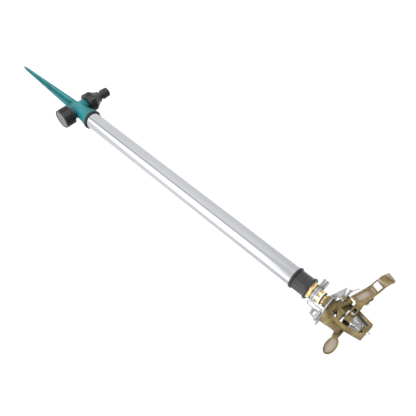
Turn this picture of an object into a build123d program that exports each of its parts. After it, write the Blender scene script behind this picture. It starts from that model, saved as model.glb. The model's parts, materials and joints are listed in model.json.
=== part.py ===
"""Impact sprinkler head on a tubular riser with a two-inlet ground spike.

Millimetres, upright, +Z along the riser. The origin is on the riser axis at the soil line, where the
spike leaves its root disc. +X points along the inlet arm that carries the hose adaptor.
The head is drawn with its jet along +X and its trip wire along -X, then turned to HEAD_AZIMUTH.
"""
from build123d import *
import math
import os

# ---- driving dimensions: base -------------------------------------------------------------------
SPIKE_LENGTH = 142.6
SPIKE_TOP_HALF = 8.9
SPIKE_TIP_HALF = 2.3
SPIKE_POINT = 7.0
SPIKE_RIB = 2.4
ROOT_DISC_R = 9.0
ROOT_DISC_T = 2.5
INLET_Z = 11.0
INLET_R = 10.4
INLET_SHOULDER = 15.2
INLET_THREAD_LENGTH = 11.0
INLET_BORE_R = 6.5
SOCKET_R = 11.4
SOCKET_WALL = 1.7
SOCKET_HEIGHT = 33.3
SOCKET_FLARE_HEIGHT = 15.0
SEAL_WALL = 2.4
SEAL_T = 3.8

# ---- driving dimensions: riser ------------------------------------------------------------------
TUBE_R = 12.5
TUBE_WALL = 1.2
TUBE_LENGTH = 401.0
TUBE_INSERT = 6.0
SPIGOT_RISE = 10.0

# ---- driving dimensions: inlet fittings ---------------------------------------------------------
CAP_R = 14.8
CAP_LENGTH = 17.0
CAP_FLOOR = 3.2
CAP_RIM = 1.9
GRIP_DEPTH = 1.1
NUT_R = 15.3
NUT_LENGTH = 12.6
CONE_LENGTH = 8.0
CONE_END_R = 9.3
STEP_R = 8.6
STEP_LENGTH = 3.0
NECK_R = 5.9
NECK_LENGTH = 5.5
NIPPLE_FLANGE_R = 7.7
NIPPLE_FLANGE_T = 2.4
NIPPLE_GROOVE_R = 6.0
NIPPLE_GROOVE_T = 2.4
NIPPLE_R = 7.4
NIPPLE_LENGTH = 7.0
NIPPLE_BORE_R = 4.4
NIPPLE_TIP_CHAMFER = 1.2
WASHER_T = 1.6

# ---- driving dimensions: riser top and bearing --------------------------------------------------
ADAPTOR_LIP = 1.4
ADAPTOR_FLANGE_T = 3.2
ADAPTOR_WAIST = 0.2
ADAPTOR_BODY_LENGTH = 17.0
ADAPTOR_SPIGOT = 20.0
ADAPTOR_BORE_R = 7.2
THREAD_R = 10.3
THREAD_LENGTH = 15.0
HEX_FLATS = 19.6
HEX_T = 4.8
BEARING_NECK_R = 8.2
BEARING_NECK_LENGTH = 10.6
SLEEVE_R = 5.6
SLEEVE_WALL = 1.4
SLEEVE_FLANGE_R = 8.6
SLEEVE_FLANGE_T = 2.2
SLEEVE_THREAD = 7.0
NYLON_T = 1.5
NYLON_R = 8.6
RUBBER_T = 0.9
RUBBER_R = 7.4
THRUST_R = 6.1
THRUST_LENGTH = 3.2
BEARING_SPRING_WIRE_R = 0.5
BEARING_SPRING_TURNS = 4

# ---- driving dimensions: friction collars -------------------------------------------------------
COLLAR_BAND_T = 1.0
COLLAR_LOWER_H = 2.7
COLLAR_UPPER_H = 3.3
COLLAR_SPACE = 0.4
COLLAR_TAB_REACH = 19.3
COLLAR_LEAF_T = 1.1
COLLAR_LEAF_GAP = 0.6
COLLAR_TAB_ANGLE = 7.0

# ---- driving dimensions: sprinkler body ---------------------------------------------------------
HEAD_AZIMUTH = 27.0
BOSS_R = 7.5
BOSS_HEIGHT = 7.6
BLOCK_HEIGHT = 8.4
TAIL_RISE = 4.2
TAIL_END = 21.8
TAIL_RIDGE = 9.5
RIDGE_V = 8.0
BLOCK_FRONT = 6.6
BLOCK_HALF = 6.0
POST_RISE = 12.8
POST_OUT = 20.6
POST_IN = 12.0
POST_V0 = 1.6
POST_V1 = 6.4
BRIDGE_ANGLE = -28.0
BRIDGE_DEPTH = 8.0
BRIDGE_TOP_HALF = 10.6
BRIDGE_MID_HALF = 14.4
BRIDGE_FOOT_HALF = 14.8
BRIDGE_LEG = 3.6
BRIDGE_TOP_BAR = 3.0
BRIDGE_SILL = 3.6
BRIDGE_HEIGHT = 47.8
BRIDGE_MID_DROP = 21.0
GUSSET_HOLE = [(-2.2, 1.0), (-10.4, 6.4), (-11.0, 1.0)]
WINDOW_HEIGHT = 27.3
JET_ANGLE = 27.0
JET_REACH = 18.2
JET_START = 4.2
NOZZLE_ROOT_R = 5.9
NOZZLE_END_R = 4.7
NOZZLE_SEAT_R = 3.3
NOZZLE_LIP_R = 4.1
NOZZLE_LIP_T = 0.9
NOZZLE_INSERT = 9.0
NOZZLE_BORE_R = 1.9
WATERWAY_R = 2.9

# ---- driving dimensions: hammer arm -------------------------------------------------------------
PIN_R = 2.0
PIN_PROUD = 3.4
PIN_SEAT = 5.0
PIN_SLOT = 1.2
BUSH_WALL = 1.5
BUSH_END = 0.6
HUB_R = 5.6
HUB_FLANGE_R = 6.6
HUB_FLANGE_T = 1.7
HUB_HEIGHT = 7.8
HUB_LIFT = 3.0
ARM_T = 3.2
ARM_FRONT = 3.5
ARM_POCKET = 1.5
SPOON_START = 50.0
SPOON_REACH = 67.8
SPOON_TURN_R = 19.0
NECK_V = 4.4
NECK_BACK = 3.7
PADDLE_CENTRE = 35.3
PADDLE_HALF_LENGTH = 11.2
PADDLE_HALF_HEIGHT = 6.3
PADDLE_T = 4.0
PADDLE_RIM = 1.3
PADDLE_POCKET = 0.9
ARM_SPRING_WIRE_R = 0.45
ARM_SPRING_TURNS = 8
ARM_SPRING_LOW_R = 7.3
ARM_SPRING_TOP_R = 5.7
ARM_SPRING_HEIGHT = 11.8
RETAINER_R = 5.4
RETAINER_T = 3.6

# ---- driving dimensions: trip gear --------------------------------------------------------------
LEVER_T = 1.1
LEVER_RING_R = 11.6
LEVER_TAIL = 28.4
LEVER_TAIL_HALF = 4.4
LEVER_TIP_HALF = 2.2
CIRCLIP_T = 0.9
CIRCLIP_R = 9.0
TRIP_PIN_R = 0.8
TRIP_PIN_DROP = 3.0
LUG_T = 1.0
LUG_INNER = 12.6
LUG_OUTER = 25.0
BRACKET_HALF_V = 3.0
BRACKET_T = 0.8
WIRE_R = 0.7
WIRE_IN = 10.9
WIRE_OUT = 15.8
WIRE_BEND_R = 1.6

# ---- driving dimensions: jet control ------------------------------------------------------------
SCREW_R = 1.6
SCREW_LENGTH = 13.0
SCREW_HEAD_R = 2.3
SCREW_HEAD_T = 1.8
SCREW_V = 6.4
SCREW_PITCH = 1.2
SCREW_THREAD_DEPTH = 0.25
STRIP_T = 0.8
STRIP_V0 = 0.4
STRIP_V1 = 3.6
STRIP_IN = JET_REACH - 1.5
STRIP_OUT = 34.0
FLAP_T = 1.5
FLAP_LENGTH = 17.0
FLAP_V0 = -6.6
FLAP_V1 = -2.0
FLAP_ANGLE = 20.0
FLAP_PIN_R = 1.0
FLAP_BARREL_R = 2.0
FLAP_EAR_T = 1.6

# ---- clearances ---------------------------------------------------------------------------------
RUNNING = 0.05
FREE = 0.3
GAP = 0.4

# ---- radii that follow from the tube -------------------------------------------------------------
SOCKET_FLARE_R = TUBE_R + SOCKET_WALL
SEAL_R = TUBE_R + SEAL_WALL
ADAPTOR_FLANGE_R = TUBE_R + ADAPTOR_LIP
ADAPTOR_BODY_R = TUBE_R - ADAPTOR_WAIST

# ---- heights that follow from the stack ---------------------------------------------------------
SOCKET_TOP = INLET_Z + SOCKET_HEIGHT
TUBE_BOTTOM = SOCKET_TOP - TUBE_INSERT
TUBE_TOP = TUBE_BOTTOM + TUBE_LENGTH
ADAPTOR_TOP = TUBE_TOP + 2 * ADAPTOR_FLANGE_T + ADAPTOR_BODY_LENGTH
NIPPLE_BOTTOM = ADAPTOR_TOP - THREAD_LENGTH
HEX_TOP = ADAPTOR_TOP + HEX_T
NECK_TOP = HEX_TOP + BEARING_NECK_LENGTH
NYLON_TOP = NECK_TOP + NYLON_T
RUBBER_TOP = NYLON_TOP + RUBBER_T
BOSS_BOTTOM = RUBBER_TOP + THRUST_LENGTH
BLOCK_BOTTOM = BOSS_BOTTOM + BOSS_HEIGHT
BLOCK_TOP = BLOCK_BOTTOM + BLOCK_HEIGHT
TAIL_TOP = BLOCK_TOP + TAIL_RISE
POST_TOP = TAIL_TOP + POST_RISE
BRIDGE_TOP = BLOCK_BOTTOM + BRIDGE_HEIGHT
WINDOW_TOP = BRIDGE_TOP - BRIDGE_TOP_BAR
WINDOW_BOTTOM = WINDOW_TOP - WINDOW_HEIGHT
JET_ORIGIN_Z = BLOCK_BOTTOM + JET_START
HUB_BOTTOM = WINDOW_BOTTOM + HUB_LIFT
HUB_TOP = HUB_BOTTOM + HUB_HEIGHT
COLLAR_LOWER_Z = HEX_TOP + COLLAR_SPACE
COLLAR_UPPER_Z = COLLAR_LOWER_Z + COLLAR_LOWER_H + COLLAR_SPACE
LEVER_Z = BLOCK_BOTTOM - LEVER_T - COLLAR_SPACE
BARREL_PIN_Z = LEVER_Z - TRIP_PIN_DROP


# ---- helpers ------------------------------------------------------------------------------------
def rod(radius, low, high):
    """Upright cylinder between two heights."""
    return Pos(0, 0, (low + high) / 2) * Cylinder(radius, high - low)


def tube(outer, inner, low, high):
    """Upright ring between two heights."""
    return rod(outer, low, high) - rod(inner, low - 1, high + 1)


def turned(points):
    """Solid of revolution about Z from (radius, height) points."""
    face = make_face(Polyline([(r, 0, z) for r, z in points], close=True))
    return revolve(face, Axis.Z, 360)


def box(x0, x1, y0, y1, z0, z1):
    """Box from its six limits."""
    return Pos((x0 + x1) / 2, (y0 + y1) / 2, (z0 + z1) / 2) * Box(x1 - x0, y1 - y0, z1 - z0)


def side_plate(points, y0, y1):
    """Plate with an outline of (x, z) points between two y values."""
    face = make_face(Polyline([(x, y1, z) for x, z in points], close=True))
    return extrude(face, amount=y1 - y0, dir=(0, -1, 0))


def plan_plate(points, z0, z1):
    """Plate with an outline of (x, y) points between two heights."""
    face = make_face(Polyline([(x, y, z0) for x, y in points], close=True))
    return extrude(face, amount=z1 - z0, dir=(0, 0, 1))


def along_x(shape, direction):
    """Lay an upright shape that starts at z=0 along +X or -X on the inlet axis."""
    return Pos(0, 0, INLET_Z) * Rot(0, 90 * direction, 0) * shape


def grips(radius, depth, low, high, groups, per_group, pitch, width):
    """Groups of axial grooves round an upright grip."""
    cuts = []
    for group in range(groups):
        for rib in range(per_group):
            angle = group * 360 / groups + (rib - (per_group - 1) / 2) * pitch
            cut = Pos(radius, 0, (low + high) / 2) * Box(2 * depth, width, high - low)
            cuts.append(Rot(0, 0, angle) * cut)
    return cuts


def coil(low_r, top_r, height, turns, wire_r, low_z):
    """Round wire spring with its first turn's centre at low_z."""
    cone = math.degrees(math.atan2(top_r - low_r, height))
    path = Helix(pitch=height / turns, height=height, radius=low_r, cone_angle=cone)
    start = Plane(origin=path @ 0, z_dir=path % 0)
    return Pos(0, 0, low_z) * sweep(start * Circle(wire_r), path=path, is_frenet=True)


def jet(shape):
    """Place an upright shape on the jet's line, its z=0 at the riser axis."""
    return Pos(0, 0, JET_ORIGIN_Z) * Rot(0, 90 - JET_ANGLE, 0) * shape


def keep(shape, node):
    """Write one node."""
    export_step(shape, f"parts/{node}.step")


def keep_head(shape, node):
    """Write one node of the head, turned to the head's direction."""
    keep(Rot(0, 0, HEAD_AZIMUTH) * shape, node)


# ---- base ---------------------------------------------------------------------------------------
def spike_body():
    """Spike with crossed ribs, root disc, two threaded inlet arms and the riser socket."""
    outline = [
        (-SPIKE_TOP_HALF, 0),
        (-SPIKE_TOP_HALF, ROOT_DISC_T),
        (SPIKE_TOP_HALF, ROOT_DISC_T),
        (SPIKE_TOP_HALF, 0),
        (SPIKE_TIP_HALF, SPIKE_POINT - SPIKE_LENGTH),
        (SPIKE_RIB / 4, -SPIKE_LENGTH),
        (-SPIKE_RIB / 4, -SPIKE_LENGTH),
        (-SPIKE_TIP_HALF, SPIKE_POINT - SPIKE_LENGTH),
    ]
    rib = side_plate(outline, -SPIKE_RIB / 2, SPIKE_RIB / 2)
    arms = along_x(Cylinder(INLET_R, 2 * INLET_SHOULDER), 1)
    threads = along_x(Cylinder(INLET_R - FREE, 2 * (INLET_SHOULDER + INLET_THREAD_LENGTH)), 1)
    flare_low = SOCKET_TOP - SOCKET_FLARE_HEIGHT
    socket = turned(
        [
            (0, INLET_Z),
            (SOCKET_R, INLET_Z),
            (SOCKET_R, flare_low - 3),
            (SOCKET_R + 0.4, flare_low),
            (SOCKET_FLARE_R - 0.4, SOCKET_TOP - 4),
            (SOCKET_FLARE_R, SOCKET_TOP - 1),
            (SOCKET_FLARE_R, SOCKET_TOP),
            (0, SOCKET_TOP),
        ]
    )
    root = rod(ROOT_DISC_R, 0, INLET_Z)
    spigot_r = TUBE_R - TUBE_WALL - RUNNING
    spigot = rod(spigot_r, TUBE_BOTTOM - 1, SOCKET_TOP + SPIGOT_RISE)
    body = rib + Rot(0, 0, 90) * rib + arms + threads + socket + root + spigot
    body -= along_x(Cylinder(INLET_BORE_R, 2 * (INLET_SHOULDER + INLET_THREAD_LENGTH) + 2), 1)
    body -= rod(INLET_BORE_R, INLET_Z, SOCKET_TOP + SPIGOT_RISE + 1)
    body -= tube(TUBE_R + RUNNING, spigot_r, TUBE_BOTTOM, SOCKET_TOP + 1)
    return body


def riser_seal():
    """Rubber ring round the tube on top of the socket."""
    inner = TUBE_R + RUNNING
    return turned(
        [
            (inner, SOCKET_TOP),
            (SEAL_R - 0.6, SOCKET_TOP),
            (SEAL_R, SOCKET_TOP + 0.6),
            (SEAL_R, SOCKET_TOP + SEAL_T - 1.2),
            (SEAL_R - 1.0, SOCKET_TOP + SEAL_T),
            (inner, SOCKET_TOP + SEAL_T),
        ]
    )


def end_cap():
    """Screw cap with a recessed end face and grouped grip ribs."""
    cap = Pos(0, 0, CAP_LENGTH / 2) * Cylinder(CAP_R, CAP_LENGTH)
    cap = chamfer(cap.edges().sort_by(Axis.Z)[-1], 0.8)
    cap -= rod(CAP_R - CAP_RIM, CAP_LENGTH - 0.7, CAP_LENGTH + 1)
    cap -= rod(INLET_R, -1, CAP_LENGTH - CAP_FLOOR)
    for cut in grips(CAP_R, GRIP_DEPTH, 1.2, CAP_LENGTH - 2.0, 8, 3, 12.5, 1.9):
        cap -= cut
    return Pos(-INLET_SHOULDER - FREE, 0, 0) * along_x(cap, -1)


def end_cap_washer():
    """Flat rubber washer under the cap's floor."""
    top = CAP_LENGTH - CAP_FLOOR
    washer = tube(INLET_R - FREE, INLET_BORE_R, top - WASHER_T, top)
    return Pos(-INLET_SHOULDER - FREE, 0, 0) * along_x(washer, -1)


def adaptor_stations():
    """Distances along the hose adaptor, from its open end."""
    cone = NUT_LENGTH + CONE_LENGTH
    step = cone + STEP_LENGTH
    neck = step + NECK_LENGTH
    flange = neck + NIPPLE_FLANGE_T
    groove = flange + NIPPLE_GROOVE_T
    return cone, step, neck, flange, groove, groove + NIPPLE_LENGTH


def hose_adaptor():
    """Ribbed union nut with a quick-connect hose nipple, one moulding."""
    cone, step, neck, flange, groove, tip = adaptor_stations()
    shape = turned(
        [
            (NIPPLE_BORE_R, 0),
            (NUT_R - 0.8, 0),
            (NUT_R, 0.8),
            (NUT_R, NUT_LENGTH - 1.5),
            (NUT_R - 1.4, NUT_LENGTH),
            (CONE_END_R + 1.2, cone - 2.2),
            (CONE_END_R, cone),
            (STEP_R, cone),
            (STEP_R, step),
            (NECK_R, step + 0.8),
            (NECK_R, neck - 0.8),
            (NIPPLE_FLANGE_R, neck),
            (NIPPLE_FLANGE_R, flange),
            (NIPPLE_GROOVE_R, flange),
            (NIPPLE_GROOVE_R, groove),
            (NIPPLE_R, groove),
            (NIPPLE_R, tip - NIPPLE_TIP_CHAMFER),
            (NIPPLE_R - NIPPLE_TIP_CHAMFER, tip),
            (NIPPLE_BORE_R, tip),
        ]
    )
    shape -= rod(INLET_R, -1, INLET_THREAD_LENGTH + WASHER_T + FREE)
    for cut in grips(NUT_R, GRIP_DEPTH, 1.6, NUT_LENGTH - 1.0, 8, 2, 17.0, 2.6):
        shape -= cut
    return Pos(INLET_SHOULDER + FREE, 0, 0) * along_x(shape, 1)


def hose_adaptor_washer():
    """Flat rubber washer between the thread's end and the nut's floor."""
    top = INLET_THREAD_LENGTH + WASHER_T + FREE
    washer = tube(INLET_R - FREE, INLET_BORE_R, top - WASHER_T, top)
    return Pos(INLET_SHOULDER + FREE, 0, 0) * along_x(washer, 1)


def nipple_o_ring():
    """O-ring in the nipple's groove."""
    flange, groove = adaptor_stations()[3:5]
    section = NIPPLE_R + FREE - NIPPLE_GROOVE_R
    middle = (flange + groove) / 2
    half = (groove - flange) / 2 - RUNNING
    ring = turned(
        [
            (NIPPLE_GROOVE_R, middle - half),
            (NIPPLE_GROOVE_R + section * 0.6, middle - half),
            (NIPPLE_GROOVE_R + section, middle - half / 2),
            (NIPPLE_GROOVE_R + section, middle + half / 2),
            (NIPPLE_GROOVE_R + section * 0.6, middle + half),
            (NIPPLE_GROOVE_R, middle + half),
        ]
    )
    return Pos(INLET_SHOULDER + FREE, 0, 0) * along_x(ring, 1)


# ---- riser and bearing --------------------------------------------------------------------------
def riser_adaptor():
    """Flanged, fluted bush plugged into the tube, threaded for the bearing nipple."""
    spigot_r = TUBE_R - TUBE_WALL - RUNNING
    low_flange = TUBE_TOP + ADAPTOR_FLANGE_T
    high_flange = low_flange + ADAPTOR_BODY_LENGTH
    shape = turned(
        [
            (ADAPTOR_BORE_R, TUBE_TOP - ADAPTOR_SPIGOT),
            (spigot_r, TUBE_TOP - ADAPTOR_SPIGOT),
            (spigot_r, TUBE_TOP),
            (ADAPTOR_FLANGE_R - 0.5, TUBE_TOP),
            (ADAPTOR_FLANGE_R, TUBE_TOP + 0.5),
            (ADAPTOR_FLANGE_R, low_flange - 0.8),
            (ADAPTOR_BODY_R, low_flange + 0.6),
            (ADAPTOR_BODY_R, high_flange - 0.6),
            (ADAPTOR_FLANGE_R, high_flange + 0.8),
            (ADAPTOR_FLANGE_R, ADAPTOR_TOP - 0.6),
            (ADAPTOR_FLANGE_R - 0.6, ADAPTOR_TOP),
            (ADAPTOR_BORE_R, ADAPTOR_TOP),
        ]
    )
    floor = NIPPLE_BOTTOM - NYLON_T - SLEEVE_FLANGE_T - 2 * GAP
    shape -= rod(THREAD_R, floor, ADAPTOR_TOP + 1)
    groove_z = TUBE_TOP - ADAPTOR_SPIGOT / 2
    shape -= tube(spigot_r + 1, spigot_r - 1.2, groove_z - 1.0, groove_z + 1.0)
    for cut in grips(ADAPTOR_BODY_R, 0.35, low_flange + 1.0, high_flange - 1.0, 8, 1, 0.0, 5.2):
        shape -= cut
    return shape


def tube_o_ring():
    """O-ring that seals the bush in the tube."""
    spigot_r = TUBE_R - TUBE_WALL - RUNNING
    groove_z = TUBE_TOP - ADAPTOR_SPIGOT / 2
    return tube(TUBE_R - TUBE_WALL, spigot_r - 1.2, groove_z - 0.9, groove_z + 0.9)


def bearing_nipple():
    """Brass nipple: thread below, hexagon, and the neck that carries the friction collars."""
    hexagon = Pos(0, 0, ADAPTOR_TOP) * extrude(RegularPolygon(HEX_FLATS / 2, 6, major_radius=False), HEX_T)
    crown = HEX_FLATS / math.sqrt(3)
    hexagon &= turned(
        [
            (0, ADAPTOR_TOP),
            (crown, ADAPTOR_TOP),
            (crown, HEX_TOP - 0.7),
            (crown - 1.2, HEX_TOP),
            (0, HEX_TOP),
        ]
    )
    shape = rod(THREAD_R, NIPPLE_BOTTOM, ADAPTOR_TOP) + hexagon + rod(BEARING_NECK_R, ADAPTOR_TOP, NECK_TOP)
    shape -= rod(SLEEVE_R + RUNNING, NIPPLE_BOTTOM - 1, NECK_TOP + 1)
    return shape - rod(spring_pocket_r(), HEX_TOP, NECK_TOP + 1)


def spring_pocket_r():
    """Radius of the pocket round the sleeve that holds the bearing spring."""
    return SLEEVE_R + RUNNING + 2 * BEARING_SPRING_WIRE_R + GAP


def bearing_sleeve():
    """Brass sleeve that turns in the nipple and carries the body."""
    top = BOSS_BOTTOM + SLEEVE_THREAD
    flange_top = NIPPLE_BOTTOM - NYLON_T
    sleeve = rod(SLEEVE_R, flange_top - SLEEVE_FLANGE_T, top)
    sleeve += rod(SLEEVE_FLANGE_R, flange_top - SLEEVE_FLANGE_T, flange_top)
    return sleeve - rod(SLEEVE_R - SLEEVE_WALL, flange_top - 10, top + 1)


def bearing_spring():
    """Compression spring that preloads the bearing washers."""
    middle = SLEEVE_R + RUNNING + BEARING_SPRING_WIRE_R + GAP / 2
    low = HEX_TOP + BEARING_SPRING_WIRE_R + RUNNING
    height = NECK_TOP - low - BEARING_SPRING_WIRE_R - RUNNING
    return coil(middle, middle, height, BEARING_SPRING_TURNS, BEARING_SPRING_WIRE_R, low)


def friction_collar(low, height, angle):
    """Spring band whose two ends turn out as a pinch tab."""
    inner = BEARING_NECK_R + RUNNING
    outer = inner + COLLAR_BAND_T
    half_gap = COLLAR_LEAF_GAP / 2
    band = tube(outer, inner, low, low + height)
    band += box(inner + 0.3, COLLAR_TAB_REACH, half_gap, half_gap + COLLAR_LEAF_T, low, low + height)
    band += box(inner + 0.3, COLLAR_TAB_REACH, -half_gap - COLLAR_LEAF_T, -half_gap, low, low + height)
    band -= box(inner - 1, COLLAR_TAB_REACH + 1, -half_gap, half_gap, low - 1, low + height + 1)
    return Rot(0, 0, angle) * band


# ---- sprinkler body -----------------------------------------------------------------------------
def bridge():
    """Tapered frame over the hammer's window."""
    mid = BRIDGE_TOP - BRIDGE_MID_DROP
    outer = [
        (-BRIDGE_FOOT_HALF, BLOCK_TOP - 1),
        (-BRIDGE_MID_HALF, mid),
        (-BRIDGE_TOP_HALF, BRIDGE_TOP),
        (BRIDGE_TOP_HALF, BRIDGE_TOP),
        (BRIDGE_MID_HALF, mid),
        (BRIDGE_FOOT_HALF, BLOCK_TOP - 1),
    ]
    inner = [
        (-BRIDGE_FOOT_HALF + BRIDGE_LEG, WINDOW_BOTTOM),
        (-BRIDGE_MID_HALF + BRIDGE_LEG, mid),
        (-BRIDGE_TOP_HALF + BRIDGE_LEG, WINDOW_TOP),
        (BRIDGE_TOP_HALF - BRIDGE_LEG, WINDOW_TOP),
        (BRIDGE_MID_HALF - BRIDGE_LEG, mid),
        (BRIDGE_FOOT_HALF - BRIDGE_LEG, WINDOW_BOTTOM),
    ]
    half = BRIDGE_DEPTH / 2
    frame = side_plate(outer, -half, half) - side_plate(inner, -half - 1, half + 1)
    low_cut = [
        (BRIDGE_FOOT_HALF + 1, BLOCK_TOP - 2),
        (BRIDGE_FOOT_HALF + 1, WINDOW_BOTTOM - BRIDGE_SILL),
        (BRIDGE_LEG + 2.5, WINDOW_BOTTOM - BRIDGE_SILL),
        (BRIDGE_LEG, BLOCK_TOP - 2),
    ]
    frame -= side_plate(low_cut, -half - 1, half + 1)
    return Rot(0, 0, BRIDGE_ANGLE) * frame


def sprinkler_body():
    """Cast body: swivel boss, block with the tail, post, bridge and nozzle boss."""
    block = plan_plate(
        [
            (BLOCK_FRONT, -BLOCK_HALF + 1),
            (BLOCK_FRONT, BLOCK_HALF - 1),
            (-TAIL_RIDGE, RIDGE_V),
            (-TAIL_END, RIDGE_V - 4.0),
            (-TAIL_END, -BLOCK_HALF + 1.5),
            (-TAIL_RIDGE, -BLOCK_HALF),
        ],
        BLOCK_BOTTOM,
        BLOCK_TOP,
    )
    tail = plan_plate(
        [
            (-POST_IN, -BLOCK_HALF + 0.5),
            (-POST_IN, RIDGE_V - 0.9),
            (-TAIL_END + 0.8, RIDGE_V - 3.8),
            (-TAIL_END + 0.8, -BLOCK_HALF + 1.5),
        ],
        BLOCK_TOP - 1,
        TAIL_TOP,
    )
    post = box(-POST_OUT, -POST_IN + 3, POST_V0, POST_V1, TAIL_TOP - 1, POST_TOP)
    boss = rod(BOSS_R, BOSS_BOTTOM, BLOCK_BOTTOM + 1)
    core = rod(BLOCK_HALF, BLOCK_TOP - 1, WINDOW_BOTTOM)
    length = JET_REACH / math.cos(math.radians(JET_ANGLE))
    nozzle_boss = turned([(0, 0), (NOZZLE_ROOT_R, 0), (NOZZLE_END_R, length), (0, length)])
    lug = box(
        JET_REACH - 4.5,
        STRIP_IN,
        0,
        SCREW_V + SCREW_R + 1.2,
        screw_z() - SCREW_R - 1.2,
        screw_z() + SCREW_R + 1.2,
    )
    ear_v = FLAP_V0 - FREE - FLAP_EAR_T
    ear = box(BRIDGE_LEG + 7, flap_u() + FLAP_BARREL_R, ear_v, ear_v + FLAP_EAR_T, flap_z() - 2.2, flap_z() + 2.2)
    body = block + tail + post + boss + core + bridge() + jet(nozzle_boss) + lug + ear
    body -= rod(SLEEVE_R, BOSS_BOTTOM - 1, BOSS_BOTTOM + SLEEVE_THREAD)
    body -= rod(SLEEVE_R - SLEEVE_WALL, BOSS_BOTTOM, JET_ORIGIN_Z)
    gusset = [(u, BLOCK_TOP + rise) for u, rise in GUSSET_HOLE]
    body -= Rot(0, 0, BRIDGE_ANGLE) * side_plate(gusset, -BRIDGE_DEPTH, BRIDGE_DEPTH)
    body -= jet(rod(WATERWAY_R, 0, length))
    body -= jet(rod(NOZZLE_SEAT_R, length - NOZZLE_INSERT, length + 1))
    body -= rod(PIN_R, WINDOW_BOTTOM - PIN_SEAT, BRIDGE_TOP + 1)
    body -= screw_axis(rod(SCREW_R + RUNNING, -20, 20))
    body -= flap_axis(rod(FLAP_PIN_R, FLAP_V0 - 10, FLAP_V1))
    return body


def nozzle():
    """Brass nozzle pressed into the boss, with a visible lip."""
    length = JET_REACH / math.cos(math.radians(JET_ANGLE))
    shape = rod(NOZZLE_SEAT_R, length - NOZZLE_INSERT, length)
    shape += rod(NOZZLE_LIP_R, length, length + NOZZLE_LIP_T)
    return jet(shape - rod(NOZZLE_BORE_R, length - 20, length + 5))


def fulcrum_pin():
    """Steel pin through the bridge, pressed into the core, with a slotted end."""
    top = BRIDGE_TOP + PIN_PROUD
    pin = rod(PIN_R, WINDOW_BOTTOM - PIN_SEAT, top)
    return pin - box(-PIN_R - 1, PIN_R + 1, -PIN_SLOT / 2, PIN_SLOT / 2, top - 2.2, top + 1)


def spring_retainer():
    """Grooved collar fixed on the pin under the bridge, which holds the arm spring's top end."""
    top = WINDOW_TOP
    shape = tube(RETAINER_R, PIN_R, top - RETAINER_T, top)
    return shape - tube(RETAINER_R + 1, RETAINER_R - 1.4, top - RETAINER_T + 1.0, top - 1.0)


# ---- hammer arm ---------------------------------------------------------------------------------
def arm_z(offset):
    """Height of an arm feature, measured from the hub's underside."""
    return HUB_BOTTOM + offset


def arm_outline():
    """Side outline of the hammer from hub to spoon tip, as (x, z)."""
    return [
        (0, arm_z(HUB_HEIGHT)),
        (14, arm_z(HUB_HEIGHT)),
        (22, arm_z(HUB_HEIGHT)),
        (28, arm_z(9.0)),
        (SPOON_START - 8, arm_z(12.6)),
        (SPOON_START, arm_z(14.2)),
        (SPOON_START + 8, arm_z(16.4)),
        (SPOON_START + 10.5, arm_z(18.0)),
        (SPOON_REACH - 3.6, arm_z(17.8)),
        (SPOON_REACH, arm_z(7.0)),
        (SPOON_REACH - 8, arm_z(3.9)),
        (SPOON_START - 6, arm_z(0.4)),
        (SPOON_START - 12, arm_z(-1.6)),
        (30, arm_z(-5.0)),
        (21.6, arm_z(-8.6)),
        (20.2, arm_z(-8.0)),
        (19.6, arm_z(-1.6)),
        (18.0, arm_z(0)),
        (0, arm_z(0)),
    ]


def arm_plan():
    """Plan outline of the hammer blade with its curved spoon."""
    back = ARM_FRONT - ARM_T
    turn = math.radians(42)
    centre_y = back - SPOON_TURN_R
    steps = 6
    outer = []
    inner = []
    for step in range(steps + 1):
        angle = math.pi / 2 - turn * step / steps
        outer.append(
            (
                SPOON_START + (SPOON_TURN_R + ARM_T) * math.cos(angle),
                centre_y + (SPOON_TURN_R + ARM_T) * math.sin(angle),
            )
        )
        inner.append(
            (
                SPOON_START + SPOON_TURN_R * math.cos(angle),
                centre_y + SPOON_TURN_R * math.sin(angle),
            )
        )
    tail_x = SPOON_REACH + 2
    slope = math.tan(math.pi / 2 - turn)
    outer.append((tail_x, outer[-1][1] - (tail_x - outer[-1][0]) / slope))
    inner.append((tail_x, inner[-1][1] - (tail_x - inner[-1][0]) / slope))
    return [(0, back), (0, ARM_FRONT)] + outer + inner[::-1]


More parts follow.
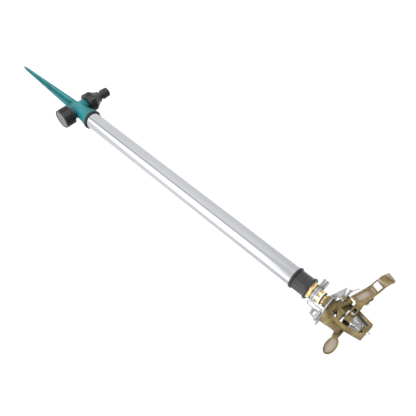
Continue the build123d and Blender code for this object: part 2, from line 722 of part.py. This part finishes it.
def hammer_arm():
    """Cast hammer: hub, blade with pockets and window, spoon, neck and counterweight."""
    low = arm_z(-12)
    high = arm_z(24)
    blade = side_plate(arm_outline(), -20, 10) & plan_plate(arm_plan(), low, high)
    front = ARM_FRONT
    pocket = [
        (22.8, arm_z(-6.6)),
        (21.6, arm_z(2.6)),
        (36.0, arm_z(9.2)),
        (38.6, arm_z(1.6)),
    ]
    small_pocket = [
        (38.2, arm_z(9.9)),
        (41.4, arm_z(10.6)),
        (44.0, arm_z(1.9)),
        (40.8, arm_z(0.9)),
    ]
    window = [
        (42.9, arm_z(10.9)),
        (49.6, arm_z(12.4)),
        (52.2, arm_z(3.4)),
        (45.6, arm_z(1.9)),
    ]
    blade -= side_plate(pocket, front - ARM_POCKET, front + 1)
    blade -= side_plate(small_pocket, front - ARM_POCKET * 0.6, front + 1)
    blade -= side_plate(window, front - ARM_T - 2, front + 1)
    neck = [
        (0, arm_z(0)),
        (-22, arm_z(-0.6)),
        (-27, arm_z(0.6)),
        (-27, arm_z(5.4)),
        (-22, arm_z(7.0)),
        (0, arm_z(HUB_HEIGHT)),
    ]
    neck_bar = side_plate(neck, -NECK_BACK, NECK_V - NECK_BACK)
    paddle_z = arm_z(5.6)
    middle_v = NECK_V / 2 - NECK_BACK
    oval = Ellipse(PADDLE_HALF_LENGTH, PADDLE_HALF_HEIGHT)
    dish = Ellipse(PADDLE_HALF_LENGTH - PADDLE_RIM, PADDLE_HALF_HEIGHT - PADDLE_RIM)
    upright = Plane(origin=(-PADDLE_CENTRE, middle_v, paddle_z), x_dir=(1, 0, 0), z_dir=(0, 1, 0))
    paddle = extrude(upright * oval, PADDLE_T / 2, both=True)
    for side in (1, -1):
        face = upright * Pos(0, 0, side * PADDLE_T / 2) * dish
        paddle -= extrude(face, PADDLE_POCKET, both=True)
    hub = rod(HUB_R, HUB_BOTTOM, HUB_TOP)
    hub += rod(HUB_FLANGE_R, HUB_BOTTOM, HUB_BOTTOM + HUB_FLANGE_T)
    hub += rod(HUB_FLANGE_R, HUB_TOP - HUB_FLANGE_T, HUB_TOP)
    arm = blade + neck_bar + paddle + hub
    side_slot = box(HUB_R + 1.2, 13.6, -10, 10, arm_z(2.1), arm_z(5.8))
    return arm - side_slot - rod(PIN_R + BUSH_WALL, HUB_BOTTOM - 1, HUB_TOP + 1)


def arm_bush():
    """Nylon bush pressed in the hub, running on the pin."""
    return tube(PIN_R + BUSH_WALL, PIN_R + RUNNING, HUB_BOTTOM - BUSH_END, HUB_TOP + BUSH_END)


def arm_spring():
    """Return spring between the hub and the retainer."""
    low = HUB_TOP + ARM_SPRING_WIRE_R + FREE
    return coil(ARM_SPRING_LOW_R, ARM_SPRING_TOP_R, ARM_SPRING_HEIGHT, ARM_SPRING_TURNS, ARM_SPRING_WIRE_R, low)


# ---- trip gear ----------------------------------------------------------------------------------
def trip_lever():
    """Stamped steel lever that rocks about the boss: ring, tail with pin lugs, and wing."""
    inner = BOSS_R + RUNNING
    top = LEVER_Z + LEVER_T
    ring = rod(LEVER_RING_R, LEVER_Z, top)
    tail = plan_plate(
        [
            (0, -LEVER_TAIL_HALF),
            (-LUG_OUTER, -LEVER_TAIL_HALF),
            (-LEVER_TAIL, -LEVER_TIP_HALF),
            (-LEVER_TAIL, LEVER_TIP_HALF),
            (-LUG_OUTER, LEVER_TAIL_HALF),
            (0, LEVER_TAIL_HALF),
        ],
        LEVER_Z,
        top,
    )
    wing = side_plate(
        [
            (BOSS_R + GAP, LEVER_Z - 5.4),
            (27.4, LEVER_Z + 4.0),
            (17.4, LEVER_Z + 6.8),
            (BOSS_R + GAP, LEVER_Z + 3.4),
        ],
        -LEVER_T / 2,
        LEVER_T / 2,
    )
    lever = ring + tail - rod(inner, LEVER_Z - 1, top + 1) + wing
    for lug_x in (LUG_INNER, LUG_OUTER - LUG_T):
        lug = box(-lug_x - LUG_T, -lug_x, -2.0, 2.0, BARREL_PIN_Z - 2.0, top)
        lever += lug
    lever -= box(-LEVER_TAIL, BOSS_R + 4, -20, 20, top, top + 20)
    return lever - pin_line(TRIP_PIN_R, 0, LEVER_TAIL)


def pin_line(radius, start, end):
    """Rod along -X on the trip pin's line."""
    return Pos(-(start + end) / 2, 0, BARREL_PIN_Z) * Rot(0, 90, 0) * Cylinder(radius, end - start)


def trip_pin():
    """Pin that hangs the trip bracket from the lever."""
    return pin_line(TRIP_PIN_R, LUG_INNER - 0.6, LUG_OUTER + 0.6)


def lever_circlip():
    """Open spring clip that keeps the lever on the boss."""
    top = LEVER_Z - COLLAR_SPACE
    clip = tube(CIRCLIP_R, BOSS_R, top - CIRCLIP_T, top)
    return clip - box(0, CIRCLIP_R + 1, -1.5, 1.5, top - 2, top + 1)


def trip_bracket():
    """Folded steel bracket with square windows, hung on the trip pin."""
    start = LUG_INNER + LUG_T + FREE
    end = LUG_OUTER - LUG_T - FREE
    roof = BARREL_PIN_Z + TRIP_PIN_R + BRACKET_T
    floor = BARREL_PIN_Z - 9.3
    outline = [
        (-start, roof),
        (-end, roof),
        (-end, BARREL_PIN_Z - 2.6),
        (-end + 1.6, floor),
        (-start - 1.2, floor),
        (-start, BARREL_PIN_Z - 5.4),
    ]
    shell = side_plate(outline, -BRACKET_HALF_V, BRACKET_HALF_V)
    inner_v = BRACKET_HALF_V - BRACKET_T
    shell -= box(-end - 2, -start + 2, -inner_v, inner_v, floor - 1, BARREL_PIN_Z - TRIP_PIN_R - BRACKET_T)
    middle = -(start + end) / 2
    shell -= box(middle - 2.2, middle + 2.2, -10, 10, floor + 2.6, floor + 6.6)
    return shell - pin_line(TRIP_PIN_R + RUNNING, 0, LEVER_TAIL)


def trip_wire():
    """Sprung wire loop that the collar tabs strike."""
    top = BARREL_PIN_Z + 1.2
    foot = COLLAR_LOWER_Z - 0.4
    join = BARREL_PIN_Z - TRIP_PIN_R - BRACKET_T
    path = FilletPolyline(
        (-WIRE_OUT, 0, join),
        (-WIRE_OUT + 0.8, 0, foot + 1.2),
        (-WIRE_IN, 0, foot),
        (-WIRE_IN, 0, top),
        radius=WIRE_BEND_R,
    )
    start = Plane(origin=path @ 0, z_dir=path % 0)
    return sweep(start * Circle(WIRE_R), path=path)


# ---- jet control --------------------------------------------------------------------------------
def screw_z():
    """Height of the diffuser screw, under the nozzle's end."""
    centre = JET_ORIGIN_Z + JET_REACH * math.tan(math.radians(JET_ANGLE))
    return centre - NOZZLE_END_R - SCREW_R + 1.4


def screw_axis(shape):
    """Lay an upright shape along the diffuser screw's line, z=0 at the lug."""
    return Pos(JET_REACH - 3, SCREW_V, screw_z()) * Rot(0, 90, 0) * shape


def diffuser_screw():
    """Threaded screw with a slotted head."""
    start = 1.5 + FREE
    shape = rod(SCREW_R, -start - 2.4, SCREW_LENGTH - 3)
    steps = int((SCREW_LENGTH - 5) / SCREW_PITCH)
    for step in range(steps):
        low = start + 0.4 + step * SCREW_PITCH
        shape -= tube(SCREW_R + 1, SCREW_R - SCREW_THREAD_DEPTH, low, low + SCREW_PITCH / 2)
    head_low = SCREW_LENGTH - 3
    head = rod(SCREW_HEAD_R, head_low, head_low + SCREW_HEAD_T)
    slot = box(-SCREW_HEAD_R - 1, SCREW_HEAD_R + 1, -0.4, 0.4, head_low + 1.0, head_low + 3)
    return screw_axis(shape + head - slot)


def diffuser_strip():
    """Thin bent steel strip on the screw lug, below the blade."""
    low = JET_ORIGIN_Z + 2.6
    top = [
        (STRIP_IN, low),
        (STRIP_IN + 5.3, low + 0.4),
        (STRIP_OUT - 6.0, low + 3.8),
        (STRIP_OUT, low + 8.2),
    ]
    under = [(x, z - STRIP_T) for x, z in reversed(top)]
    return side_plate(top + under, STRIP_V0, STRIP_V1)


def flap_u():
    """Distance of the deflector's hinge from the riser axis."""
    return JET_REACH - 0.8


def flap_z():
    """Height of the deflector's hinge."""
    return HUB_TOP - 3.2


def flap_axis(shape):
    """Lay an upright shape along the deflector's hinge, keeping its z as y."""
    return Pos(flap_u(), 0, flap_z()) * Rot(-90, 0, 0) * shape


def deflector_flap():
    """Curved bronze flap above the jet, with its hinge barrel."""
    plate = box(0, FLAP_LENGTH, FLAP_V0, FLAP_V1, -FLAP_T / 2, FLAP_T / 2)
    lip = Pos(FLAP_LENGTH, 0, 0) * Rot(0, 50, 0) * box(-0.4, 3.4, FLAP_V0, FLAP_V1, -FLAP_T / 2, FLAP_T / 2)
    leaf = Pos(flap_u(), 0, flap_z()) * Rot(0, -FLAP_ANGLE, 0) * (plate + lip)
    barrel = flap_axis(rod(FLAP_BARREL_R, FLAP_V0, FLAP_V1))
    hole = flap_axis(rod(FLAP_PIN_R + RUNNING, FLAP_V0 - 1, FLAP_V1 + 1))
    return leaf + barrel - hole - flap_screw_line(rod(1.2, -5, 5))


def flap_screw_line(shape):
    """Place an upright shape square to the flap, z=0 at the flap's top face."""
    middle = (FLAP_V0 + FLAP_V1) / 2
    local = Pos(FLAP_LENGTH * 0.55, middle, FLAP_T / 2) * shape
    return Pos(flap_u(), 0, flap_z()) * Rot(0, -FLAP_ANGLE, 0) * local


def deflector_screw():
    """Steel screw through the flap, with a slotted round head."""
    shape = rod(1.2, -FLAP_T - 2.0, 0) + rod(2.1, 0, 1.6)
    return flap_screw_line(shape - box(-3, 3, -0.35, 0.35, 0.8, 3))


def deflector_pin():
    """Hinge pin of the flap, pressed in the body's ear."""
    low = FLAP_V0 - FREE - FLAP_EAR_T
    return flap_axis(rod(FLAP_PIN_R, low, FLAP_V1 + 0.5))


# ---- write every node ---------------------------------------------------------------------------
os.makedirs("parts", exist_ok=True)

keep(spike_body(), "spike_body")
keep(riser_seal(), "riser_seal")
keep(end_cap(), "end_cap")
keep(end_cap_washer(), "end_cap_washer")
keep(hose_adaptor(), "hose_adaptor")
keep(hose_adaptor_washer(), "hose_adaptor_washer")
keep(nipple_o_ring(), "nipple_o_ring")
keep(tube(TUBE_R, TUBE_R - TUBE_WALL, TUBE_BOTTOM, TUBE_TOP), "riser_tube")
keep(riser_adaptor(), "riser_adaptor")
keep(tube_o_ring(), "tube_o_ring")
keep(bearing_nipple(), "bearing_nipple")
keep_head(bearing_sleeve(), "bearing_sleeve")
keep(bearing_spring(), "bearing_spring")
keep(tube(SLEEVE_FLANGE_R, SLEEVE_R + RUNNING, NIPPLE_BOTTOM - NYLON_T, NIPPLE_BOTTOM), "thrust_washer")
keep(tube(NYLON_R, SLEEVE_R + RUNNING, NECK_TOP, NYLON_TOP), "nylon_washer")
keep(tube(RUBBER_R, SLEEVE_R + RUNNING, NYLON_TOP, RUBBER_TOP), "rubber_washer")
keep_head(tube(THRUST_R, SLEEVE_R, RUBBER_TOP, BOSS_BOTTOM), "thrust_bush")
keep_head(friction_collar(COLLAR_LOWER_Z, COLLAR_LOWER_H, COLLAR_TAB_ANGLE), "friction_collar_lower")
keep_head(friction_collar(COLLAR_UPPER_Z, COLLAR_UPPER_H, -COLLAR_TAB_ANGLE), "friction_collar_upper")
keep_head(sprinkler_body(), "sprinkler_body")
keep_head(nozzle(), "nozzle")
keep_head(fulcrum_pin(), "fulcrum_pin")
keep_head(spring_retainer(), "spring_retainer")
keep_head(hammer_arm(), "hammer_arm")
keep_head(arm_bush(), "arm_bush")
keep_head(arm_spring(), "arm_spring")
keep_head(trip_lever(), "trip_lever")
keep_head(lever_circlip(), "lever_circlip")
keep_head(trip_pin(), "trip_pin")
keep_head(trip_bracket(), "trip_bracket")
keep_head(trip_wire(), "trip_wire")
keep_head(diffuser_screw(), "diffuser_screw")
keep_head(diffuser_strip(), "diffuser_strip")
keep_head(deflector_flap(), "deflector_flap")
keep_head(deflector_screw(), "deflector_screw")
keep_head(deflector_pin(), "deflector_pin")
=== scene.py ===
"""Looks of the impact sprinkler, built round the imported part: softened castings, worn finishes and a white studio."""

import json
import math

import bmesh
import bpy
from mathutils import Matrix, Vector


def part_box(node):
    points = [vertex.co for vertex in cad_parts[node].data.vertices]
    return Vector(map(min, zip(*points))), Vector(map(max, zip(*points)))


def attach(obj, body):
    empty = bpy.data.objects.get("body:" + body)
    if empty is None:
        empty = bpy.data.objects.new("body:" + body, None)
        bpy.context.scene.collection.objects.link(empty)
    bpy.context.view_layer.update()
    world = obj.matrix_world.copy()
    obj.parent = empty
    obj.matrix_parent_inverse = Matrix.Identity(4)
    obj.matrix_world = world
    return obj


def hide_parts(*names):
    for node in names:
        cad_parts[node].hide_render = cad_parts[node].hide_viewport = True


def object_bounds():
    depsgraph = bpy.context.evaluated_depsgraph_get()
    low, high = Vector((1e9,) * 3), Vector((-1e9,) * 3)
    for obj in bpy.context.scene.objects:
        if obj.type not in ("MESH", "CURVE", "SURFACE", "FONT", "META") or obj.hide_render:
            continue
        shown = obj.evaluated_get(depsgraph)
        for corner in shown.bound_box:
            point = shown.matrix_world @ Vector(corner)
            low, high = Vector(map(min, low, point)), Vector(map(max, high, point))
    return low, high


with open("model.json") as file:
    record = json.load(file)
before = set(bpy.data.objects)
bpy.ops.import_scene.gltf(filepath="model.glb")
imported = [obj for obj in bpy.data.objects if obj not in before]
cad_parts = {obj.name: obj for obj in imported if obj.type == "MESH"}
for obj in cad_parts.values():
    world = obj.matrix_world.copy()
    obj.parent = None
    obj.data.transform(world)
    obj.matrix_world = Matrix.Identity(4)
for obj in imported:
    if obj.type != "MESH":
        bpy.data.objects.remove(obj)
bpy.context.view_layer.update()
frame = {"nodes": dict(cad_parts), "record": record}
record = frame["record"]
SLOT = {part["node"]: part["material_slot"] for part in record["subparts"]}
BODY = {node: body for body, nodes in record["behaviour"]["bodies"].items() for node in nodes}

# The jet and the hammer's blade point this far round from the inlet arms, in degrees.
HEAD_AZIMUTH = 27.0
# The camera's place in metres, and how it is turned, in degrees: round the riser, above level, and rolled.
CAMERA_AT = (-0.278293, 0.546776, 0.612394)
CAMERA_AZIMUTH = 117.12
CAMERA_ELEVATION = 27.50
CAMERA_ROLL = 127.77
CAMERA_LENS = 46.27
WHITE = (1.0, 1.0, 1.0, 1.0)


def level(degrees):
    """Level unit vector at an azimuth."""
    return Vector((math.cos(math.radians(degrees)), math.sin(math.radians(degrees)), 0.0))


# ---- shader helpers ---------------------------------------------------------------------------------
def shader(name):
    """New node material with its tree and principled shader."""
    mat = bpy.data.materials.new(name)
    mat.use_nodes = True
    tree = mat.node_tree
    return mat, tree, tree.nodes["Principled BSDF"]


def add(tree, kind, **values):
    """Add a node and set its inputs by name, where _ stands for a space."""
    node = tree.nodes.new(kind)
    for key, value in values.items():
        node.inputs[key.replace("_", " ")].default_value = value
    return node


def spread(tree, source, low, high, from_low=0.3, from_high=0.7):
    """Value remapped to a range."""
    node = add(
        tree, "ShaderNodeMapRange", From_Min=from_low, From_Max=from_high, To_Min=low, To_Max=high
    )
    tree.links.new(source, node.inputs["Value"])
    return node.outputs["Result"]


def join(tree, operation, first, second):
    """Two values put through a maths node."""
    node = tree.nodes.new("ShaderNodeMath")
    node.operation = operation
    tree.links.new(first, node.inputs[0])
    tree.links.new(second, node.inputs[1])
    return node.outputs["Value"]


def along(tree, vector, direction):
    """Distance along a direction."""
    node = tree.nodes.new("ShaderNodeVectorMath")
    node.operation = "DOT_PRODUCT"
    node.inputs[1].default_value = direction
    tree.links.new(vector, node.inputs[0])
    return node.outputs["Value"]


def noise(tree, scale, detail, stretch=None):
    """Noise on the object's own coordinates."""
    source = tree.nodes.new("ShaderNodeTexCoord").outputs["Object"]
    if stretch:
        mapping = add(tree, "ShaderNodeMapping", Scale=stretch)
        tree.links.new(source, mapping.inputs["Vector"])
        source = mapping.outputs["Vector"]
    node = add(tree, "ShaderNodeTexNoise", Scale=scale, Detail=detail, Roughness=0.55)
    tree.links.new(source, node.inputs["Vector"])
    return node.outputs["Fac"]


def ramp(tree, source, stops):
    """Colour ramp over a value."""
    node = tree.nodes.new("ShaderNodeValToRGB")
    elements = node.color_ramp.elements
    while len(elements) < len(stops):
        elements.new(0.5)
    for element, (at, colour) in zip(elements, stops):
        element.position = at
        element.color = (*colour, 1.0)
    tree.links.new(source, node.inputs["Fac"])
    return node.outputs["Color"]


def bumps(tree, bsdf, layers):
    """Stack of bump maps, each (noise scale, strength, distance)."""
    last = None
    for scale, strength, distance in layers:
        node = add(tree, "ShaderNodeBump", Strength=strength, Distance=distance)
        tree.links.new(noise(tree, scale, 3.0), node.inputs["Height"])
        if last:
            tree.links.new(last, node.inputs["Normal"])
        last = node.outputs["Normal"]
    tree.links.new(last, bsdf.inputs["Normal"])


def painted_crevice_shade(tree, colour, crevice_shade, reach, share):
    """Colour that turns to painted shade in corners and gaps, where ambient occlusion finds them."""
    # Painted shade: the colour is mixed towards the shade colour where ambient occlusion finds a corner or gap.
    hollow = add(tree, "ShaderNodeAmbientOcclusion", Distance=reach)
    hollow.samples = 12
    dark = spread(tree, hollow.outputs["AO"], share, 0.0, 0.3, 0.97)
    mix = tree.nodes.new("ShaderNodeMix")
    mix.data_type = "RGBA"
    tree.links.new(dark, mix.inputs["Factor"])
    # The colour sockets of this node share their names with others, so they go by number.
    tree.links.new(colour, mix.inputs[6])
    mix.inputs[7].default_value = (*crevice_shade, 1.0)
    return mix.outputs[2]


def surface(name, stops, scale, rough, metallic, layers, stretch=None, detail=4.0, crevice_shade=None, specular=0.5):
    """Material with blotched colour, optional painted shade in corners and gaps, varied roughness and layered bumps."""
    mat, tree, bsdf = shader(name)
    colour = ramp(tree, noise(tree, scale, detail, stretch), stops)
    # Painted shade darkens the colour in corners and gaps.
    if crevice_shade:
        colour = painted_crevice_shade(tree, colour, *crevice_shade)
    tree.links.new(colour, bsdf.inputs["Base Color"])
    tree.links.new(spread(tree, noise(tree, scale * 2.3, 5.0), *rough), bsdf.inputs["Roughness"])
    bsdf.inputs["Metallic"].default_value = metallic
    bsdf.inputs["Specular IOR Level"].default_value = specular
    bumps(tree, bsdf, layers)
    return mat


# ---- materials --------------------------------------------------------------------------------------
# Colours and roughness run over a noise of the given scale; painted shade in corners and gaps is given as (colour,
# reach in metres, share).
LOOKS = {
    "base_plastic": {
        "stops": [(0.32, (0.006, 0.140, 0.152)), (0.5, (0.010, 0.190, 0.207)), (0.7, (0.016, 0.235, 0.252))],
        "scale": 38.0,
        "rough": (0.34, 0.46),
        "metallic": 0.0,
        "layers": [(900.0, 0.10, 0.0003), (60.0, 0.12, 0.001)],
        "crevice_shade": ((0.004, 0.05, 0.055), 0.012, 0.8),
        "specular": 0.35,
    },
    "black_plastic": {
        "stops": [(0.3, (0.012, 0.011, 0.012)), (0.55, (0.020, 0.019, 0.021)), (0.75, (0.032, 0.030, 0.032))],
        "scale": 55.0,
        "rough": (0.30, 0.44),
        "metallic": 0.0,
        "layers": [(1100.0, 0.12, 0.0002), (90.0, 0.10, 0.0008)],
        "crevice_shade": ((0.004, 0.004, 0.004), 0.004, 0.8),
    },
    "seal_rubber": {
        "stops": [(0.3, (0.012, 0.012, 0.013)), (0.7, (0.03, 0.029, 0.03))],
        "scale": 80.0,
        "rough": (0.55, 0.7),
        "metallic": 0.0,
        "layers": [(1300.0, 0.2, 0.0002)],
    },
    "tube_chrome": {
        "stops": [(0.3, (0.41, 0.42, 0.44)), (0.7, (0.48, 0.49, 0.51))],
        "scale": 16.0,
        "rough": (0.035, 0.075),
        "metallic": 1.0,
        "layers": [(14.0, 0.02, 0.002)],
        "stretch": (1.0, 1.0, 0.15),
    },
    "brass_parts": {
        "stops": [(0.3, (0.62, 0.44, 0.17)), (0.55, (0.74, 0.57, 0.27)), (0.75, (0.82, 0.67, 0.38))],
        "scale": 120.0,
        "rough": (0.16, 0.30),
        "metallic": 1.0,
        "layers": [(700.0, 0.10, 0.0002)],
        "stretch": (1.0, 1.0, 4.0),
        "crevice_shade": ((0.05, 0.03, 0.01), 0.004, 0.85),
    },
    "bright_steel": {
        "stops": [(0.3, (0.36, 0.355, 0.35)), (0.7, (0.56, 0.56, 0.555))],
        "scale": 150.0,
        "rough": (0.22, 0.34),
        "metallic": 0.85,
        "layers": [(900.0, 0.12, 0.0002)],
        "crevice_shade": ((0.02, 0.02, 0.02), 0.002, 0.9),
    },
    "pressed_steel": {
        "stops": [(0.28, (0.24, 0.235, 0.235)), (0.5, (0.33, 0.325, 0.33)), (0.75, (0.45, 0.445, 0.44))],
        "scale": 90.0,
        "rough": (0.34, 0.46),
        "metallic": 0.7,
        "layers": [(600.0, 0.14, 0.0002), (110.0, 0.12, 0.0006)],
        "crevice_shade": ((0.03, 0.028, 0.025), 0.004, 0.85),
    },
    "white_nylon": {
        "stops": [(0.3, (0.66, 0.62, 0.50)), (0.7, (0.80, 0.78, 0.70))],
        "scale": 120.0,
        "rough": (0.35, 0.5),
        "metallic": 0.0,
        "layers": [(900.0, 0.1, 0.0002)],
    },
    "bronze_casting": {
        "stops": [
            (0.28, (0.080, 0.054, 0.017)),
            (0.44, (0.132, 0.092, 0.030)),
            (0.56, (0.180, 0.130, 0.045)),
            (0.74, (0.275, 0.208, 0.092)),
        ],
        "scale": 95.0,
        "rough": (0.34, 0.50),
        "metallic": 0.35,
        "layers": [(750.0, 0.22, 0.0004), (140.0, 0.20, 0.001)],
        "detail": 6.0,
        "crevice_shade": ((0.016, 0.009, 0.003), 0.012, 0.95),
    },
    # Painted light: a lighter copy of the black plastic for the cap's end face, standing in for the light that face
    # catches.
    "lit_cap_face": {
        "stops": [(0.3, (0.085, 0.082, 0.088)), (0.7, (0.135, 0.130, 0.140))],
        "scale": 70.0,
        "rough": (0.4, 0.55),
        "metallic": 0.0,
        "layers": [(900.0, 0.15, 0.0002)],
        "crevice_shade": ((0.01, 0.01, 0.01), 0.002, 0.8),
    },
    "bronze_recess": {
        "stops": [(0.3, (0.215, 0.170, 0.125)), (0.5, (0.275, 0.225, 0.170)), (0.72, (0.34, 0.285, 0.22))],
        "scale": 120.0,
        "rough": (0.5, 0.66),
        "metallic": 0.15,
        "layers": [(900.0, 0.3, 0.0003)],
        "crevice_shade": ((0.05, 0.03, 0.01), 0.003, 0.8),
    },
}
MATERIALS = {name: surface(name, **look) for name, look in LOOKS.items()}

for node, obj in frame["nodes"].items():
    obj.data.materials.clear()
    obj.data.materials.append(MATERIALS[SLOT[node]])

# ---- softened copies --------------------------------------------------------------------------------
# Width of the rounded edge on each node that gets one, in metres.
SOFT = {
    "spike_body": 0.0006,
    "end_cap": 0.0003,
    "hose_adaptor": 0.0003,
    "riser_seal": 0.0003,
    "riser_adaptor": 0.0003,
    "bearing_nipple": 0.00025,
    "sprinkler_body": 0.0005,
    "hammer_arm": 0.0004,
    "nozzle": 0.0002,
    "spring_retainer": 0.0002,
    "deflector_flap": 0.0003,
    "trip_lever": 0.0002,
    "trip_bracket": 0.0002,
    "friction_collar_lower": 0.0002,
    "friction_collar_upper": 0.0002,
    "fulcrum_pin": 0.0002,
    "deflector_screw": 0.0002,
}
# Points closer than this are merged, in metres; then flat facets up to this angle, and sharper edges are rounded.
MERGE_DISTANCE = 0.00001
FLAT_ANGLE = 1.0
SHARP_ANGLE = 32.0

# The hammer seen from above, in metres: OUT is along its blade and ACROSS is square to that.
OUT = level(HEAD_AZIMUTH)
ACROSS = level(HEAD_AZIMUTH + 90.0)
SPOON_START = 0.062
BLADE_START = 0.020
BLADE_FLOOR = (0.0018, 0.0031)
PADDLE_START = -0.025
PADDLE_MIDDLE = -0.0015
PADDLE_FLOOR = 0.0018
CAP_FACE_DEPTH = 0.0009


def soften(node, width):
    """Copy of a node with rounded edges, which stands for the node."""
    mesh = frame["nodes"][node].data.copy()
    mesh.name = node + "_soft"
    work = bmesh.new()
    work.from_mesh(mesh)
    bmesh.ops.remove_doubles(work, verts=work.verts, dist=MERGE_DISTANCE)
    bmesh.ops.dissolve_limit(
        work,
        angle_limit=math.radians(FLAT_ANGLE),
        verts=work.verts,
        edges=work.edges,
        delimit={"NORMAL"},
    )
    work.to_mesh(mesh)
    work.free()
    mesh.shade_smooth()
    obj = bpy.data.objects.new(node + "_soft", mesh)
    bpy.context.scene.collection.objects.link(obj)
    bevel = obj.modifiers.new("edge", "BEVEL")
    bevel.width = width
    bevel.segments = 2
    bevel.limit_method = "ANGLE"
    bevel.angle_limit = math.radians(SHARP_ANGLE)
    bevel.use_clamp_overlap = True
    bevel.harden_normals = True
    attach(obj, BODY[node])
    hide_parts(node)
    return obj


def repaint(obj, material, test):
    """Give the faces that pass a test a second material."""
    obj.data.materials.append(material)
    for face in obj.data.polygons:
        if test(face):
            face.material_index = 1


def recessed(face):
    """True on the blade's pocket floors, the spoon's inner side and the paddle's dish floors."""
    out, across = face.center.dot(OUT), face.center.dot(ACROSS)
    if out > SPOON_START and face.normal.dot(ACROSS) > 0.5:
        return True
    if abs(face.normal.dot(ACROSS)) < 0.98:
        return False
    if out > BLADE_START:
        return BLADE_FLOOR[0] < across < BLADE_FLOOR[1]
    return out < PADDLE_START and abs(across - PADDLE_MIDDLE) < PADDLE_FLOOR


def on_cap_face(face):
    """True on the closed end of the cap, which faces away from the hose nipple."""
    cap_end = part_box("end_cap")[0][0]
    return face.center[0] < cap_end + CAP_FACE_DEPTH and face.normal[0] < -0.9


pieces = {node: soften(node, width) for node, width in SOFT.items()}
repaint(pieces["hammer_arm"], MATERIALS["bronze_recess"], recessed)
# The cap's end face gets the lighter copy of the black plastic, which is painted light on that face.
repaint(pieces["end_cap"], MATERIALS["lit_cap_face"], on_cap_face)

# ---- studio -----------------------------------------------------------------------------------------
FLOOR_SIZE = 60.0
FLOOR_DROP = 0.002
STRIP_DISTANCE = 2.4
STRIP_HEIGHT = 0.75
AIM_HEIGHT = 0.45


def floor_material():
    """White floor with an even glow, a soft grey gap of painted shade and a brighter glowing sheet of painted light on
    the camera's side, both of which the tube mirrors.
    """
    mat, tree, bsdf = shader("floor")
    bsdf.inputs["Roughness"].default_value = 0.9
    bsdf.inputs["Emission Color"].default_value = WHITE
    place = tree.nodes.new("ShaderNodeNewGeometry").outputs["Position"]
    distance = along(tree, place, level(CAMERA_AZIMUTH))
    aside = along(tree, place, level(CAMERA_AZIMUTH + 90.0))
    bearing = join(tree, "DIVIDE", aside, distance)
    start = spread(tree, distance, 0.0, 1.0, 0.12, 0.22)
    end = spread(tree, distance, 1.0, 0.0, 1.1, 2.0)
    zone = join(tree, "MULTIPLY", start, end)
    right = spread(tree, bearing, 0.0, 1.0, -0.16, -0.02)
    left = spread(tree, bearing, 1.0, 0.0, 0.14, 0.28)
    wedge = join(tree, "MULTIPLY", right, left)
    # The gap is painted shade: a greyer, dimmer band of floor that the tube mirrors as a dark line.
    painted_shade_gap = join(tree, "MULTIPLY", zone, wedge)
    # The sheet is painted light: floor that glows brighter so the tube mirrors a bright band.
    painted_light_sheet = join(tree, "MULTIPLY", zone, spread(tree, bearing, 0.0, 1.0, 0.20, 0.28))
    tone = spread(tree, painted_shade_gap, 0.88, 0.70, 0.0, 1.0)
    grey = tree.nodes.new("ShaderNodeCombineColor")
    for channel in ("Red", "Green", "Blue"):
        tree.links.new(tone, grey.inputs[channel])
    tree.links.new(grey.outputs["Color"], bsdf.inputs["Base Color"])
    sheet_glow = spread(tree, painted_light_sheet, 0.0, 1.1, 0.0, 1.0)
    glow = join(tree, "ADD", sheet_glow, spread(tree, painted_shade_gap, 0.60, 0.20, 0.0, 1.0))
    tree.links.new(glow, bsdf.inputs["Emission Strength"])
    return mat


def make_floor():
    """Square floor just under the part."""
    half = FLOOR_SIZE / 2
    mesh = bpy.data.meshes.new("floor")
    corners = [(-half, -half, 0), (half, -half, 0), (half, half, 0), (-half, half, 0)]
    mesh.from_pydata(corners, [], [(0, 1, 2, 3)])
    mesh.materials.append(floor_material())
    obj = bpy.data.objects.new("floor", mesh)
    obj.matrix_world = Matrix.Translation((0, 0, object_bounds()[0][2] - FLOOR_DROP))
    bpy.context.scene.collection.objects.link(obj)


def make_sky():
    """White all round and dimmer overhead."""
    world = bpy.data.worlds.new("studio")
    bpy.context.scene.world = world
    world.use_nodes = True
    tree = world.node_tree
    background = tree.nodes["Background"]
    background.inputs["Color"].default_value = WHITE
    height = along(tree, tree.nodes.new("ShaderNodeTexCoord").outputs["Generated"], (0.0, 0.0, 1.0))
    tree.links.new(spread(tree, height, 1.05, 0.20, 0.36, 0.75), background.inputs["Strength"])


def light(name, at, size, power, target):
    """Soft light, size wide and high, aimed at a point."""
    data = bpy.data.lights.new(name, "AREA")
    data.shape = "RECTANGLE"
    data.size, data.size_y = size
    data.energy = power
    obj = bpy.data.objects.new(name, data)
    obj.location = at
    obj.rotation_euler = (Vector(at) - Vector(target)).to_track_quat("Z", "Y").to_euler()
    bpy.context.scene.collection.objects.link(obj)


def make_camera():
    """Camera on the hammer's side, rolled so that the riser runs across the picture."""
    data = bpy.data.cameras.new("camera")
    data.sensor_width = 36.0
    data.lens = CAMERA_LENS
    data.clip_start = 0.01
    data.clip_end = 100.0
    camera = bpy.data.objects.new("camera", data)
    rise = math.radians(CAMERA_ELEVATION)
    back = math.cos(rise) * level(CAMERA_AZIMUTH) + Vector((0.0, 0.0, math.sin(rise)))
    upright = back.to_track_quat("Z", "Y").to_matrix()
    turn = upright @ Matrix.Rotation(math.radians(CAMERA_ROLL), 3, "Z")
    camera.matrix_world = Matrix.Translation(CAMERA_AT) @ turn.to_4x4()
    bpy.context.scene.collection.objects.link(camera)
    bpy.context.scene.camera = camera


make_floor()
make_sky()
light("key", (-1.4, 0.55, 0.95), (0.5, 0.5), 16.0, (0, 0, AIM_HEIGHT))
light("fill", (0.5, 1.5, 0.9), (0.7, 0.7), 4.0, (0, 0, AIM_HEIGHT))
for azimuth in (75, 195, 315):
    x, y = STRIP_DISTANCE * level(azimuth).xy
    light(f"strip_{azimuth}", (x, y, STRIP_HEIGHT), (0.24, 1.7), 5.0, (0, 0, STRIP_HEIGHT))
make_camera()
bpy.context.scene.view_settings.view_transform = "Standard"
